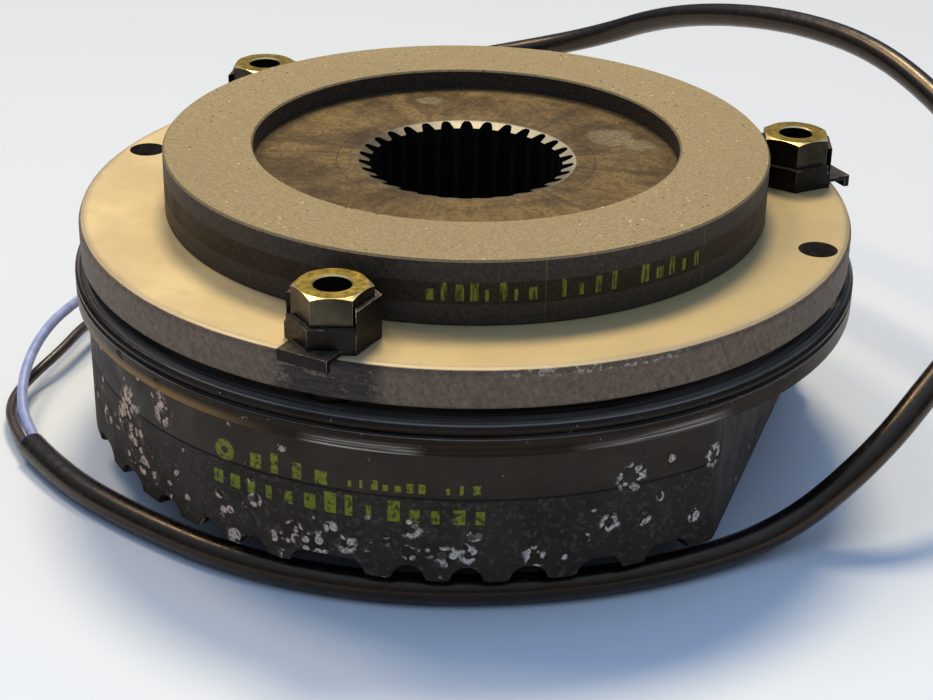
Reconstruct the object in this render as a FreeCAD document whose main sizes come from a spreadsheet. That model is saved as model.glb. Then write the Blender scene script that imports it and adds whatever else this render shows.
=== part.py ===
import FreeCAD, Part

import math
import os

import Sketcher
from FreeCAD import Placement, Rotation, Vector

# Spring-applied electromagnetic brake (a fail-safe clutch-brake), size 12, standing on its rear face.
#
# Frame: Z is the shaft axis. Z = 0 is the rear of the stator, which the unit stands on, and the
# friction rotor is on top. From the bottom: stator with its coil, air gap, armature plate, rotor.
# Three hollow sleeve bolts on a 132 mm circle hold the stack together and set the air gap.

doc = FreeCAD.newDocument("SpringAppliedBrake")

# ---------------------------------------------------------------------------------------------
# Driving dimensions, millimetres and degrees. Azimuths count from +X towards +Y.
# ---------------------------------------------------------------------------------------------
DIMENSIONS = [
    ("pole_face_z", 37.2, "top of the stator, where the armature lands"),
    ("armature_gap", 2.5, "armature lift off the stator, held up by the springs"),
    ("armature_thickness", 7.3, ""),
    ("lining_thickness", 4.0, "each of the two friction rings"),
    ("carrier_thickness", 4.0, "rotor disc between the friction rings"),
    ("band_radius", 75.0, "machined rim of the stator"),
    ("band_bottom_z", 31.7, ""),
    ("band_groove_radius", 74.1, "floor of the seal groove in the rim"),
    ("band_groove_low_z", 34.9, ""),
    ("band_groove_high_z", 35.9, ""),
    ("band_chamfer", 0.7, ""),
    ("body_radius", 73.3, "cast body below the rim"),
    ("rib_foot_z", 5.8, "rear ends of the ribs, clear of the floor"),
    ("rib_foot_rounding", 0.9, "outer corner of the rib ends"),
    ("rib_inner_radius", 50.0, "inner end of the rear cooling ribs"),
    ("rear_land_radius", 47.0, "outer edge of the land that the unit stands on"),
    ("rear_recess_z", 9.6, "floor of the ring-shaped recess between land and ribs"),
    ("bore_radius", 24.2, "shaft passage through the stator"),
    ("bore_end_z", 33.0, ""),
    ("bore_mouth_radius", 25.2, "wider mouth for the rotor collar"),
    ("adjuster_inner_radius", 26.5, "groove that takes the adjuster ring"),
    ("adjuster_outer_radius", 37.5, ""),
    ("adjuster_depth", 12.0, ""),
    ("coil_inner_radius", 40.5, "annular coil space, open at the pole face"),
    ("coil_outer_radius", 57.5, ""),
    ("coil_floor_z", 12.5, ""),
    ("coil_clearance", 0.3, ""),
    ("bobbin_wall", 1.1, ""),
    ("bobbin_top_z", 34.6, ""),
    ("potting_top_z", 36.8, ""),
    ("fixing_radius", 66.0, "half the 132 mm pitch circle of the sleeve bolts"),
    ("fixing_azimuth", -109.0, "first of three, 120 degrees apart"),
    ("screw_clearance_radius", 3.5, "fixing screw hole at the rear"),
    ("screw_seat_radius", 7.2, "screw head seat in the wide notch"),
    ("screw_seat_z", 9.9, ""),
    ("thread_radius", 5.0, "threaded hole for the sleeve bolt"),
    ("thread_bottom_z", 21.0, ""),
    ("thread_boss_radius", 6.9, "cast boss kept round the thread where the side is cut flat"),
    ("release_radius", 68.6, "circle of the two hand-release bolt holes"),
    ("release_azimuth", -19.25, "first of two, opposite each other"),
    ("release_hole_radius", 3.6, ""),
    ("flat_distance", 61.0, "axis to each flat cut beside the release bolts"),
    ("flat_corner_radius", 12.0, "soft corner between flat and round side"),
    ("spring_circle_radius", 32.0, ""),
    ("spring_pocket_radius", 4.4, ""),
    ("spring_mean_radius", 3.1, ""),
    ("spring_wire_radius", 0.75, ""),
    ("spring_turns", 8, ""),
    ("spring_seat_z", 10.5, "top of the adjuster ring"),
    ("adjuster_ring_bottom_z", 1.0, ""),
    ("adjuster_slot_width", 5.0, "hook spanner slots"),
    ("adjuster_slot_depth", 2.6, ""),
    ("cable_azimuth", 110.0, "radial hole for the lead"),
    ("cable_z", 21.0, ""),
    ("cable_hole_radius", 3.9, ""),
    ("cable_radius", 2.7, ""),
    ("armature_radius", 73.7, ""),
    ("armature_bore_radius", 24.4, ""),
    ("armature_rounding", 1.0, "turned rounding of the upper rim"),
    ("armature_sleeve_hole_radius", 5.4, ""),
    ("rotor_radius", 57.5, ""),
    ("lining_inner_radius", 40.6, ""),
    ("lining_chamfer", 0.35, ""),
    ("carrier_inner_radius", 24.8, ""),
    ("bush_collar_radius", 23.6, ""),
    ("bush_bottom_z", 36.0, ""),
    ("spline_tip_radius", 18.5, ""),
    ("spline_root_radius", 20.6, ""),
    ("spline_entry_drop", 0.75, "depth of the lead-in cone over the teeth"),
    ("spline_teeth", 30, ""),
    ("spline_root_half_width", 0.62, "half width of a tooth space at its floor"),
    ("spline_tip_half_width", 1.35, "half width of a tooth space at the tooth tips"),
    ("spline_phase", 90.0, "azimuth of one tooth space"),
    ("sleeve_hex", 12.0, "across flats"),
    ("sleeve_head_height", 9.0, ""),
    ("sleeve_shank_radius", 4.95, ""),
    ("sleeve_bore_radius", 3.25, ""),
    ("sleeve_bore_chamfer", 0.25, ""),
    ("sleeve_bottom_z", 23.0, ""),
    ("clip_plate_thickness", 0.8, ""),
    ("clip_outer_hex", 14.0, "across flats of the clip cup"),
    ("clip_inner_hex", 12.15, ""),
    ("clip_high_wall", 7.0, ""),
    ("clip_low_wall", 3.8, ""),
    ("clip_shank_hole_radius", 5.2, ""),
    ("clip_tab_width", 9.6, ""),
    ("clip_tab_reach", 9.6, "sleeve axis to the outer edge of the tab"),
    ("clip_lip_thickness", 1.1, ""),
    ("clip_lip_drop", 1.5, ""),
    ("grommet_bore_radius", 2.75, ""),
    ("grommet_body_radius", 3.85, ""),
    ("grommet_flange_radius", 5.6, ""),
    ("grommet_flange_thickness", 1.9, ""),
    ("grommet_nose_length", 11.0, ""),
    ("grommet_nose_radius", 3.5, ""),
    ("grommet_inner_radius", 59.0, "inner end of the grommet, from the axis"),
    ("core_radius", 1.05, "insulated core wires"),
    ("ferrule_collar_radius", 1.4, ""),
    ("ferrule_collar_length", 3.2, ""),
    ("ferrule_pin_radius", 0.75, ""),
    ("ferrule_pin_length", 6.5, ""),
    ("lead_radius", 0.7, "coil leads inside the cable hole"),
]

sheet = doc.addObject("Spreadsheet::Sheet", "Dimensions")
for row, (alias, value, note) in enumerate(DIMENSIONS, start=1):
    sheet.set(f"A{row}", alias)
    sheet.set(f"B{row}", str(value))
    sheet.set(f"C{row}", note)
    sheet.setAlias(f"B{row}", alias)
doc.recompute()


def size(alias):
    """Value of one cell of the sheet."""
    return float(sheet.get(alias))


def cells(text):
    """Expression in which every alias of the sheet is written as a reference to its cell."""
    words = []
    word = ""
    for letter in text + " ":
        if letter.isalnum() or letter == "_":
            word += letter
            continue
        words.append(f"Dimensions.{word}" if word in ALIASES else word)
        words.append(letter)
        word = ""
    return "".join(words).strip()


ALIASES = {alias for alias, _, _ in DIMENSIONS}

# Heights that follow from the stack.
ARMATURE_BOTTOM = "pole_face_z + armature_gap"
ARMATURE_TOP = f"{ARMATURE_BOTTOM} + armature_thickness"
CARRIER_BOTTOM = f"{ARMATURE_TOP} + lining_thickness"
CARRIER_TOP = f"{CARRIER_BOTTOM} + carrier_thickness"
ROTOR_TOP = f"{CARRIER_TOP} + lining_thickness"
HEAD_BOTTOM = f"{ARMATURE_TOP} + clip_plate_thickness"
HEAD_TOP = f"{HEAD_BOTTOM} + sleeve_head_height"
SLEEVES = (1, 2, 3)
# Azimuth of one corner of each sleeve bolt's hexagon: where the spanner left it.
HEX_CORNER = {1: -118.5, 2: 27.0, 3: 141.0}
# Walls of each clip that are cut low, counted in hexagon sides from the tab corner.
LOW_WALLS = {1: (0, 5), 2: (3, 4), 3: (1, 2)}
SLIT_CORNER = {1: 5, 2: 5, 3: 3}  # where a low wall meets a high one
# The second clip's tab is turned further from the radius, so it is longer to clear the rim.
TAB_EXTRA = {1: 0.0, 2: 0.9, 3: 0.0}


def number(expression):
    """Value that an expression of the sheet has now."""
    result = sheet.evalExpression(cells(expression))
    return float(getattr(result, "Value", result))


def polar(radius, azimuth, z=0.0):
    angle = math.radians(azimuth)
    return Vector(radius * math.cos(angle), radius * math.sin(angle), z)


# ---------------------------------------------------------------------------------------------
# Sketch and feature helpers
# ---------------------------------------------------------------------------------------------
def origin_feature(body, role):
    return next(item for item in body.Origin.OriginFeatures if item.Role == role)


def new_sketch(body, name, plane, height=None):
    """Sketch on an origin plane of its own body, lifted along the plane's normal."""
    sketch = body.newObject("Sketcher::SketchObject", name)
    sketch.AttachmentSupport = [(origin_feature(body, plane), "")]
    sketch.MapMode = "FlatFace"
    if height:
        sketch.setExpression("AttachmentOffset.Base.z", cells(height))
    return sketch


def bind(sketch, kind, geometry, point, name, expression):
    """Horizontal or vertical distance of a sketch point from the sketch origin."""
    value = number(expression)
    if abs(value) < 1e-9:
        axis = -2 if kind == "DistanceX" else -1
        sketch.addConstraint(Sketcher.Constraint("PointOnObject", geometry, point, axis))
        return
    index = sketch.addConstraint(Sketcher.Constraint(kind, -1, 1, geometry, point, value))
    sketch.renameConstraint(index, name)
    sketch.setExpression(f"Constraints.{name}", cells(expression))


def draw_outline(sketch, corners):
    """Closed outline of straight sides, with both coordinates of each corner bound to the sheet."""
    places = [Vector(number(across), number(up), 0) for across, up in corners]
    count = len(places)
    for i in range(count):
        sketch.addGeometry(Part.LineSegment(places[i], places[(i + 1) % count]), False)
    for i in range(count):
        sketch.addConstraint(Sketcher.Constraint("Coincident", i, 2, (i + 1) % count, 1))
    for i, (across, up) in enumerate(corners):
        bind(sketch, "DistanceX", i, 1, f"across{i}", across)
        bind(sketch, "DistanceY", i, 1, f"up{i}", up)


def turned_body(label, corners):
    """Ring or shaft turned about the Z axis from corners given as (radius, height)."""
    body = doc.addObject("PartDesign::Body", label)
    sketch = new_sketch(body, f"{label}_section", "XZ_Plane")
    draw_outline(sketch, corners)
    turning = body.newObject("PartDesign::Revolution", f"{label}_turning")
    turning.Profile = sketch
    turning.ReferenceAxis = (sketch, ["V_Axis"])
    turning.Angle = 360
    doc.recompute()
    return body


def repeat_around(body, feature, count):
    pattern = body.newObject("PartDesign::PolarPattern", f"{feature.Name}_pattern")
    pattern.Originals = [feature]
    pattern.Axis = (origin_feature(body, "Z_Axis"), [""])
    pattern.Angle = 360
    pattern.Occurrences = count
    body.Tip = pattern
    doc.recompute()


def cut_from_above(body, sketch, name, depth=None):
    """Pocket that goes down from the sketch, through everything or to a depth."""
    before = body.Shape.Volume
    pocket = body.newObject("PartDesign::Pocket", name)
    pocket.Profile = sketch
    if depth:
        pocket.setExpression("Length", cells(depth))
    else:
        pocket.Type = "ThroughAll"
    body.Tip = pocket
    doc.recompute()
    if body.Shape.Volume >= before - 1e-3:
        raise RuntimeError(f"{name} removes nothing")
    return pocket


def drill(body, name, radius, circle, azimuth, count, top, depth=None):
    """Ring of equal round holes, drilled down from the height top."""
    sketch = new_sketch(body, f"{name}_sketch", "XY_Plane", top)
    centre_x = f"({circle}) * cos({azimuth})"
    centre_y = f"({circle}) * sin({azimuth})"
    centre = Vector(number(centre_x), number(centre_y), 0)
    sketch.addGeometry(Part.Circle(centre, Vector(0, 0, 1), number(radius)), False)
    bind(sketch, "DistanceX", 0, 3, "centre_x", centre_x)
    bind(sketch, "DistanceY", 0, 3, "centre_y", centre_y)
    index = sketch.addConstraint(Sketcher.Constraint("Radius", 0, number(radius)))
    sketch.renameConstraint(index, "hole_radius")
    sketch.setExpression("Constraints.hole_radius", cells(radius))
    pocket = cut_from_above(body, sketch, name, depth)
    if count > 1:
        repeat_around(body, pocket, count)


def primitive(kind, name, **sizes):
    """Part primitive whose properties are bound to expressions of the sheet."""
    item = doc.addObject(kind, name)
    for prop, expression in sizes.items():
        item.setExpression(prop.replace("_", "."), cells(expression))
    return item


def boolean(kind, name, base, tool):
    item = doc.addObject(kind, name)
    if kind == "Part::MultiFuse":
        item.Shapes = [base, tool]
    else:
        item.Base = base
        item.Tool = tool
    return item


def feature(name, shape):
    item = doc.addObject("Part::Feature", name)
    item.Shape = shape
    return item


def arc(start, middle, end):
    return Part.Arc(start, middle, end).toShape()


def line(start, end):
    return Part.LineSegment(start, end).toShape()


# ---------------------------------------------------------------------------------------------
# Stator housing: turned and drilled body, then the cast shapes of its rear
# ---------------------------------------------------------------------------------------------
SIDE = 1.0  # how far a cutter reaches past the metal it removes
RIB_TIP_RADIUS = 2.2
VALLEY_RADIUS = 2.9
VALLEY_DEPTH = 3.5
RIB_TIP_BITE = 0.15  # the rib tip arcs dip this far below the rib ends, so that they end cleanly
# Valleys between the rear ribs: degrees from the wide notch, and half the width of the flat crown.
# The pitch grows away from the notch, and the crowns with it, so that all ribs are alike.
VALLEYS = ((11.2, 0.0), (19.0, 0.0), (27.3, 0.4), (37.2, 1.2), (47.5, 1.7))
WIDE_NOTCH_HALF_FLAT = 3.9
MIDDLE_VALLEY_HALF_FLAT = 2.3
NOTCH_TURN = 1.0  # degrees from a fixing hole to the middle of its wide notch
VALLEY_FALL = 7.0  # degrees by which the valleys run out toward the axis
FLAT_REACH = 30.0  # degrees on both sides of a release hole in which the flat has no valleys


def valley_cutter(azimuth, half_flat):
    """Radial cutter with a rounded crown that leaves rounded rib tips on both sides."""
    inner = size("rib_inner_radius") - SIDE
    length = size("band_radius") + SIDE - inner
    floor_centre = VALLEY_DEPTH - VALLEY_RADIUS
    tip_centre = RIB_TIP_RADIUS - RIB_TIP_BITE
    spread = math.sqrt((VALLEY_RADIUS + RIB_TIP_RADIUS) ** 2 - (tip_centre - floor_centre) ** 2)
    slope = math.atan2(tip_centre - floor_centre, spread)
    right = []
    foot = Vector(0, half_flat + spread, -RIB_TIP_BITE)
    tip_middle = 0.5 * (slope + math.pi / 2)
    right.append(arc(
        foot,
        Vector(0, foot.y - RIB_TIP_RADIUS * math.cos(tip_middle),
               tip_centre - RIB_TIP_RADIUS * math.sin(tip_middle)),
        Vector(0, foot.y - RIB_TIP_RADIUS * math.cos(slope),
               tip_centre - RIB_TIP_RADIUS * math.sin(slope)),
    ))
    wall = Vector(0, half_flat + VALLEY_RADIUS * math.cos(slope),
                  floor_centre + VALLEY_RADIUS * math.sin(slope))
    floor_middle = 0.5 * (slope + math.pi / 2)
    crown = Vector(0, half_flat, VALLEY_DEPTH)
    right.append(arc(
        wall,
        Vector(0, half_flat + VALLEY_RADIUS * math.cos(floor_middle),
               floor_centre + VALLEY_RADIUS * math.sin(floor_middle)),
        crown,
    ))
    mirror = FreeCAD.Matrix()
    mirror.A22 = -1
    left = [edge.transformGeometry(mirror) for edge in right]
    low = -RIB_TIP_BITE - SIDE
    foot_low = Vector(0, foot.y, low)
    edges = right + left + [
        line(foot, foot_low),
        line(foot_low, Vector(0, -foot.y, low)),
        line(Vector(0, -foot.y, low), Vector(0, -foot.y, foot.z)),
    ]
    if half_flat > 0:
        edges.append(line(crown, Vector(0, -half_flat, VALLEY_DEPTH)))
    wire = Part.Wire(Part.__sortEdges__(edges))
    solid = Part.Face(wire).extrude(Vector(length, 0, 0))
    solid.translate(Vector(inner, 0, size("rib_foot_z")))
    solid.rotate(Vector(size("body_radius"), 0, size("rib_foot_z")), Vector(0, 1, 0), -VALLEY_FALL)
    solid.rotate(Vector(), Vector(0, 0, 1), azimuth)
    return solid


def on_flat(azimuth):
    """True where the side is cut flat beside a release hole."""
    across = (azimuth - size("release_azimuth") + 90) % 180 - 90
    return abs(across) < FLAT_REACH


def flat_cutter(azimuth):
    """Everything outside a flat that is soft-cornered into the round side, below the rim."""
    distance = size("flat_distance")
    corner = size("flat_corner_radius")
    radius = size("body_radius")
    outside = radius + 4 * SIDE
    centre_x = distance - corner
    centre_y = math.sqrt((radius - corner + 0.2) ** 2 - centre_x ** 2)
    centre = Vector(centre_x, centre_y, 0)
    toward = math.atan2(centre_y, centre_x) + math.radians(12)
    rim = centre + Vector(math.cos(toward), math.sin(toward), 0) * corner
    middle = centre + Vector(math.cos(toward / 2), math.sin(toward / 2), 0) * corner
    flip = FreeCAD.Matrix()
    flip.A22 = -1
    upper = arc(rim, middle, Vector(distance, centre_y, 0))
    far = Vector(outside, rim.y * outside / rim.x, 0)
    edges = [
        upper,
        upper.transformGeometry(flip),
        line(Vector(distance, centre_y, 0), Vector(distance, -centre_y, 0)),
        line(rim, far),
        line(Vector(rim.x, -rim.y, 0), Vector(far.x, -far.y, 0)),
        line(far, Vector(far.x, -far.y, 0)),
    ]
    wire = Part.Wire(Part.__sortEdges__(edges))
    solid = Part.Face(wire).extrude(Vector(0, 0, size("band_bottom_z") + SIDE))
    solid.translate(Vector(0, 0, -SIDE))
    solid.rotate(Vector(), Vector(0, 0, 1), azimuth)
    for i in SLEEVES:
        boss = Part.makeCylinder(
            size("thread_boss_radius"), size("band_radius"),
            polar(size("fixing_radius"), size("fixing_azimuth") + 120 * (i - 1), -2 * SIDE),
        )
        solid = solid.cut(boss)
    return solid


def make_housing():
    body = turned_body("housing_turning", [
        ("bore_radius", "0"),
        ("adjuster_inner_radius", "0"),
        ("adjuster_inner_radius", "adjuster_depth"),
        ("adjuster_outer_radius", "adjuster_depth"),
        ("adjuster_outer_radius", "0"),
        ("rear_land_radius", "0"),
        ("rear_land_radius", "rear_recess_z"),
        ("rib_inner_radius", "rear_recess_z"),
        ("rib_inner_radius", "rib_foot_z"),
        ("body_radius - rib_foot_rounding", "rib_foot_z"),
        ("body_radius", "rib_foot_z + rib_foot_rounding"),
        ("body_radius", "band_bottom_z"),
        ("band_radius", "band_bottom_z"),
        ("band_radius", "band_groove_low_z"),
        ("band_groove_radius", "band_groove_low_z"),
        ("band_groove_radius", "band_groove_high_z"),
        ("band_radius", "band_groove_high_z"),
        ("band_radius", "pole_face_z - band_chamfer"),
        ("band_radius - band_chamfer", "pole_face_z"),
        ("coil_outer_radius", "pole_face_z"),
        ("coil_outer_radius", "coil_floor_z"),
        ("coil_inner_radius", "coil_floor_z"),
        ("coil_inner_radius", "pole_face_z"),
        ("bore_mouth_radius", "pole_face_z"),
        ("bore_mouth_radius", "bore_end_z"),
        ("bore_radius", "bore_end_z"),
    ])
    top = "pole_face_z"
    drill(body, "sleeve_thread", "thread_radius", "fixing_radius", "fixing_azimuth", 3, top,
          "pole_face_z - thread_bottom_z")
    drill(body, "screw_hole", "screw_clearance_radius", "fixing_radius", "fixing_azimuth", 3, top)
    drill(body, "release_hole", "release_hole_radius", "release_radius", "release_azimuth", 2, top)
    drill(body, "spring_pocket", "spring_pocket_radius", "spring_circle_radius", "0", 6, top)

    cutters = []
    for i in SLEEVES:
        azimuth = size("fixing_azimuth") + 120 * (i - 1)
        notch = azimuth + NOTCH_TURN
        cutters.append(valley_cutter(notch, WIDE_NOTCH_HALF_FLAT))
        between = [(notch + 60, MIDDLE_VALLEY_HALF_FLAT)]
        between += [(notch + offset, half_flat) for offset, half_flat in VALLEYS]
        between += [(notch - offset, half_flat) for offset, half_flat in VALLEYS]
        cutters += [valley_cutter(turn, half_flat) for turn, half_flat in between if not on_flat(turn)]
        seat_at = polar(size("fixing_radius"), azimuth, -SIDE)
        seat_height = size("screw_seat_z") + SIDE
        cutters.append(Part.makeCylinder(size("screw_seat_radius"), seat_height, seat_at))
    cutters.append(flat_cutter(size("release_azimuth")))
    cutters.append(flat_cutter(size("release_azimuth") + 180))
    cable_hole = Part.makeCylinder(
        size("cable_hole_radius"), size("band_radius") - size("coil_outer_radius") + SIDE,
        Vector(size("coil_outer_radius") - SIDE, 0, size("cable_z")), Vector(1, 0, 0),
    )
    cable_hole.rotate(Vector(), Vector(0, 0, 1), size("cable_azimuth"))
    cutters.append(cable_hole)
    cast_cuts = feature("rear_cast_cuts", Part.makeCompound(cutters))
    return boolean("Part::Cut", "stator_housing", body, cast_cuts)


# ---------------------------------------------------------------------------------------------
# Coil, springs and adjuster
# ---------------------------------------------------------------------------------------------
def make_coil():
    inner = "coil_inner_radius + coil_clearance"
    outer = "coil_outer_radius - coil_clearance"
    floor = "coil_floor_z"
    bobbin = turned_body("coil_bobbin", [
        (inner, floor),
        (outer, floor),
        (outer, f"{floor} + bobbin_wall"),
        (f"{inner} + bobbin_wall", f"{floor} + bobbin_wall"),
        (f"{inner} + bobbin_wall", "bobbin_top_z - bobbin_wall"),
        (outer, "bobbin_top_z - bobbin_wall"),
        (outer, "bobbin_top_z"),
        (inner, "bobbin_top_z"),
    ])
    winding = turned_body("coil_winding", [
        (f"{inner} + bobbin_wall", f"{floor} + bobbin_wall"),
        (f"{outer} - bobbin_wall", f"{floor} + bobbin_wall"),
        (f"{outer} - bobbin_wall", "bobbin_top_z - bobbin_wall"),
        (f"{inner} + bobbin_wall", "bobbin_top_z - bobbin_wall"),
    ])
    potting = turned_body("coil_potting_ring", [
        ("coil_inner_radius", "bobbin_top_z"),
        ("coil_outer_radius", "bobbin_top_z"),
        ("coil_outer_radius", "potting_top_z"),
        ("coil_inner_radius", "potting_top_z"),
    ])
    return [bobbin, winding, potting]


def make_adjuster():
    body = turned_body("adjuster_ring", [
        ("adjuster_inner_radius + 0.3", "adjuster_ring_bottom_z"),
        ("adjuster_outer_radius - 0.05", "adjuster_ring_bottom_z"),
        ("adjuster_outer_radius - 0.05", "spring_seat_z"),
        ("adjuster_inner_radius + 0.3", "spring_seat_z"),
    ])
    slot = new_sketch(body, "spanner_slot_sketch", "XY_Plane",
                      "adjuster_ring_bottom_z + adjuster_slot_depth")
    inner = "adjuster_outer_radius - 4.5"
    outer = "adjuster_outer_radius + 1"
    draw_outline(slot, [
        (inner, "-adjuster_slot_width / 2"),
        (outer, "-adjuster_slot_width / 2"),
        (outer, "adjuster_slot_width / 2"),
        (inner, "adjuster_slot_width / 2"),
    ])
    pocket = cut_from_above(body, slot, "spanner_slot")
    repeat_around(body, pocket, 8)
    return body


def make_springs():
    """Six pressure springs with ground ends between the adjuster ring and the armature."""
    low = size("spring_seat_z")
    high = number(ARMATURE_BOTTOM)
    mean = size("spring_mean_radius")
    wire = size("spring_wire_radius")
    turns = size("spring_turns")
    height = high - low
    pitch = height / turns
    helix = Part.makeHelix(pitch, height, mean)
    section = Part.Wire([Part.Circle(Vector(mean, 0, 0), Vector(0, 1, 0), wire).toShape()])
    coil = Part.Wire(helix).makePipeShell([section], True, True)
    block = Part.makeBox(4 * mean, 4 * mean, height, Vector(-2 * mean, -2 * mean, 0))
    ground = coil.common(block)
    springs = []
    for i in range(6):
        spring = feature(f"pressure_spring_{i + 1}", ground.Solids[0].copy())
        spring.Placement = Placement(polar(size("spring_circle_radius"), 60 * i, low),
                                     Rotation(Vector(0, 0, 1), 60 * i))
        springs.append(spring)
    return springs


# ---------------------------------------------------------------------------------------------
# Armature and rotor
# ---------------------------------------------------------------------------------------------
def make_armature():
    body = turned_body("armature_plate", [
        ("armature_bore_radius", ARMATURE_BOTTOM),
        ("armature_radius - 0.5", ARMATURE_BOTTOM),
        ("armature_radius", f"{ARMATURE_BOTTOM} + 0.5"),
        ("armature_radius", f"{ARMATURE_TOP} - armature_rounding"),
        ("armature_radius - armature_rounding * 0.29", f"{ARMATURE_TOP} - armature_rounding * 0.29"),
        ("armature_radius - armature_rounding", ARMATURE_TOP),
        ("armature_bore_radius", ARMATURE_TOP),
    ])
    drill(body, "armature_sleeve_hole", "armature_sleeve_hole_radius", "fixing_radius",
          "fixing_azimuth", 3, ARMATURE_TOP)
    drill(body, "armature_release_hole", "release_hole_radius", "release_radius",
          "release_azimuth", 2, ARMATURE_TOP)
    return body


def make_rotor():
    carrier = turned_body("rotor_carrier", [
        ("carrier_inner_radius", CARRIER_BOTTOM),
        ("rotor_radius", CARRIER_BOTTOM),
        ("rotor_radius", CARRIER_TOP),
        ("carrier_inner_radius", CARRIER_TOP),
    ])
    outer = turned_body("outer_friction_lining", [
        ("lining_inner_radius", CARRIER_TOP),
        ("rotor_radius", CARRIER_TOP),
        ("rotor_radius", f"{ROTOR_TOP} - lining_chamfer"),
        ("rotor_radius - lining_chamfer", ROTOR_TOP),
        ("lining_inner_radius + lining_chamfer", ROTOR_TOP),
        ("lining_inner_radius", f"{ROTOR_TOP} - lining_chamfer"),
    ])
    inner = turned_body("inner_friction_lining", [
        ("lining_inner_radius", ARMATURE_TOP),
        ("rotor_radius - lining_chamfer", ARMATURE_TOP),
        ("rotor_radius", f"{ARMATURE_TOP} + lining_chamfer"),
        ("rotor_radius", CARRIER_BOTTOM),
        ("lining_inner_radius", CARRIER_BOTTOM),
    ])
    return [carrier, outer, inner, make_spline_bush()]


def make_spline_bush():
    """Toothed bush: flange flush with the carrier, collar reaching down through the armature."""
    body = turned_body("spline_bush", [
        ("spline_tip_radius", "bush_bottom_z"),
        ("bush_collar_radius", "bush_bottom_z"),
        ("bush_collar_radius", CARRIER_BOTTOM),
        ("carrier_inner_radius", CARRIER_BOTTOM),
        ("carrier_inner_radius", CARRIER_TOP),
        ("spline_root_radius", CARRIER_TOP),
        ("spline_tip_radius", f"{CARRIER_TOP} - spline_entry_drop"),
    ])
    space = new_sketch(body, "tooth_space_sketch", "XY_Plane", f"{CARRIER_TOP} + 1")
    inner = "(spline_tip_radius - 1)"
    tip = "spline_tip_radius"
    root = "spline_root_radius"
    shoulder = "(spline_root_radius - 0.45)"
    across = [
        (inner, "-spline_tip_half_width"),
        (tip, "-spline_tip_half_width"),
        (shoulder, "-spline_root_half_width - 0.25"),
        (root, "-spline_root_half_width + 0.2"),
        (root, "spline_root_half_width - 0.2"),
        (shoulder, "spline_root_half_width + 0.25"),
        (tip, "spline_tip_half_width"),
        (inner, "spline_tip_half_width"),
    ]
    turned = [
        (f"({r}) * cos(spline_phase) - ({w}) * sin(spline_phase)",
         f"({r}) * sin(spline_phase) + ({w}) * cos(spline_phase)")
        for r, w in across
    ]
    draw_outline(space, turned)
    pocket = cut_from_above(body, space, "tooth_space")
    repeat_around(body, pocket, int(size("spline_teeth")))
    return body


# ---------------------------------------------------------------------------------------------
# Sleeve bolts and their locking clips
# ---------------------------------------------------------------------------------------------
def hexagon(name, across_flats, height, base_z):
    prism = primitive("Part::Prism", name, Circumradius=f"({across_flats}) / 2 / cos(30)",
                      Height=height, Placement_Base_z=base_z)
    prism.Polygon = 6
    return prism


def sleeve_placement(i):
    centre = polar(size("fixing_radius"), size("fixing_azimuth") + 120 * (i - 1))
    return Placement(centre, Rotation(Vector(0, 0, 1), HEX_CORNER[i]))


def make_sleeve(i):
    """Hollow bolt with a hexagon head whose top corners are turned off."""
    corner_radius = "sleeve_hex / 2 / cos(30)"
    face_radius = "(sleeve_hex / 2 - 0.05)"
    blank = turned_body(f"sleeve_{i}_blank", [
        ("sleeve_bore_radius", "sleeve_bottom_z"),
        ("sleeve_shank_radius - 0.6", "sleeve_bottom_z"),
        ("sleeve_shank_radius", "sleeve_bottom_z + 0.6"),
        ("sleeve_shank_radius", HEAD_BOTTOM),
        (f"({corner_radius})", HEAD_BOTTOM),
        (f"({corner_radius})", f"{HEAD_TOP} - 0.5"),
        (face_radius, HEAD_TOP),
        ("sleeve_bore_radius + sleeve_bore_chamfer", HEAD_TOP),
        ("sleeve_bore_radius", f"{HEAD_TOP} - sleeve_bore_chamfer"),
    ])
    stock = primitive("Part::Cylinder", f"sleeve_{i}_stock", Radius="sleeve_hex",
                      Height="sleeve_head_height + 1", Placement_Base_z=HEAD_BOTTOM)
    prism = hexagon(f"sleeve_{i}_hex", "sleeve_hex", "sleeve_head_height + 1", HEAD_BOTTOM)
    around = boolean("Part::Cut", f"sleeve_{i}_flats", stock, prism)
    bolt = boolean("Part::Cut", f"sleeve_bolt_{i}", blank, around)
    bolt.Placement = sleeve_placement(i)
    return bolt


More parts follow.
